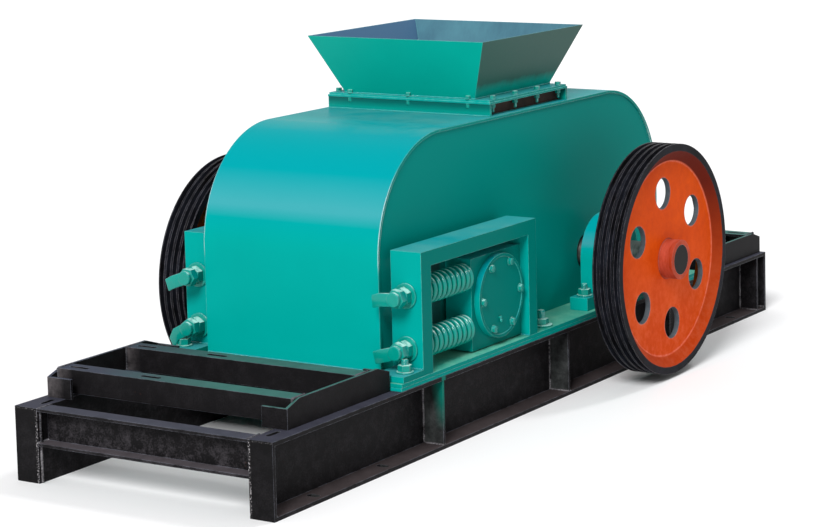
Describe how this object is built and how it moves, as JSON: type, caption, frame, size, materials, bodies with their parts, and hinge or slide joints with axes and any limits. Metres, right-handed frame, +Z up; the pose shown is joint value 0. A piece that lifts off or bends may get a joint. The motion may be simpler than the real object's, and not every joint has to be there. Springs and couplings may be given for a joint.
{
  "type": "roll crusher",
  "caption": "Twin-roll crusher on a channel-steel skid: domed housing with feed hopper, spring-loaded sliding roll, fixed roll, grooved drive pulleys and slotted motor bases.",
  "frame": {"origin": "on the floor under the middle of the skid, at the centre of the foundation slots", "axes": "+Z up, +Y along the skid towards the fixed roll's end, +X to the side where the fixed roll's pulley is"},
  "size_m": [1.177, 2.8, 1.06],
  "materials": {
    "black_paint": "satin black paint with dust",
    "teal_paint": "satin teal paint",
    "steel": "worn bare steel",
    "orange_paint": "satin orange paint, black rim"
  },
  "bodies": {
    "frame": {"rail_left": "black_paint", "rail_right": "black_paint", "cross_beam_front": "black_paint", "cross_beam_rear": "black_paint", "cross_beam_body_front": "black_paint", "cross_beam_body_rear": "black_paint", "front_base_side_left": "black_paint", "front_base_side_right": "black_paint", "front_base_cross": "black_paint", "rear_base_side_left": "black_paint", "rear_base_side_right": "black_paint", "rear_base_cross": "black_paint", "packing_plate_left": "teal_paint", "packing_plate_right": "teal_paint", "base_plate_left": "teal_paint", "base_plate_right": "teal_paint", "base_plate_front": "teal_paint", "base_plate_rear": "teal_paint", "side_plate_left": "teal_paint", "side_plate_right": "teal_paint", "hood_front": "teal_paint", "hood_top": "teal_paint", "hood_rear": "teal_paint", "feed_collar": "teal_paint", "feed_flange": "teal_paint", "hopper": "teal_paint", "guide_frame_left": "teal_paint", "guide_frame_right": "teal_paint", "springs_left": "teal_paint", "springs_right": "teal_paint", "rear_bearing_left": "teal_paint", "rear_bearing_right": "teal_paint"},
    "carriage": {"slide_block_left": "teal_paint", "slide_block_right": "teal_paint", "bearing_cover_left": "teal_paint", "bearing_cover_right": "teal_paint", "adjusting_rods_left": "teal_paint", "adjusting_rods_right": "teal_paint"},
    "front_roll_set": {"front_shaft": "steel", "front_roll": "steel", "front_pulley": "orange_paint"},
    "rear_roll_set": {"rear_shaft": "steel", "rear_roll": "steel", "rear_pulley": "orange_paint"}
  },
  "joints": [
    {"name": "carriage_slide", "type": "slide", "parent": "frame", "child": "carriage", "axis": [0, -1, 0], "range_m": [0, 0.025], "stiffness_N_per_m": 460000, "springref_m": -0.035, "deforming": ["springs_left", "springs_right"]},
    {"name": "front_roll_spin", "type": "hinge", "parent": "carriage", "child": "front_roll_set", "pos_m": [0, -0.3, 0.362], "axis": [1, 0, 0], "continuous": true},
    {"name": "rear_roll_spin", "type": "hinge", "parent": "frame", "child": "rear_roll_set", "pos_m": [0, 0.388, 0.362], "axis": [1, 0, 0], "continuous": true}
  ]
}
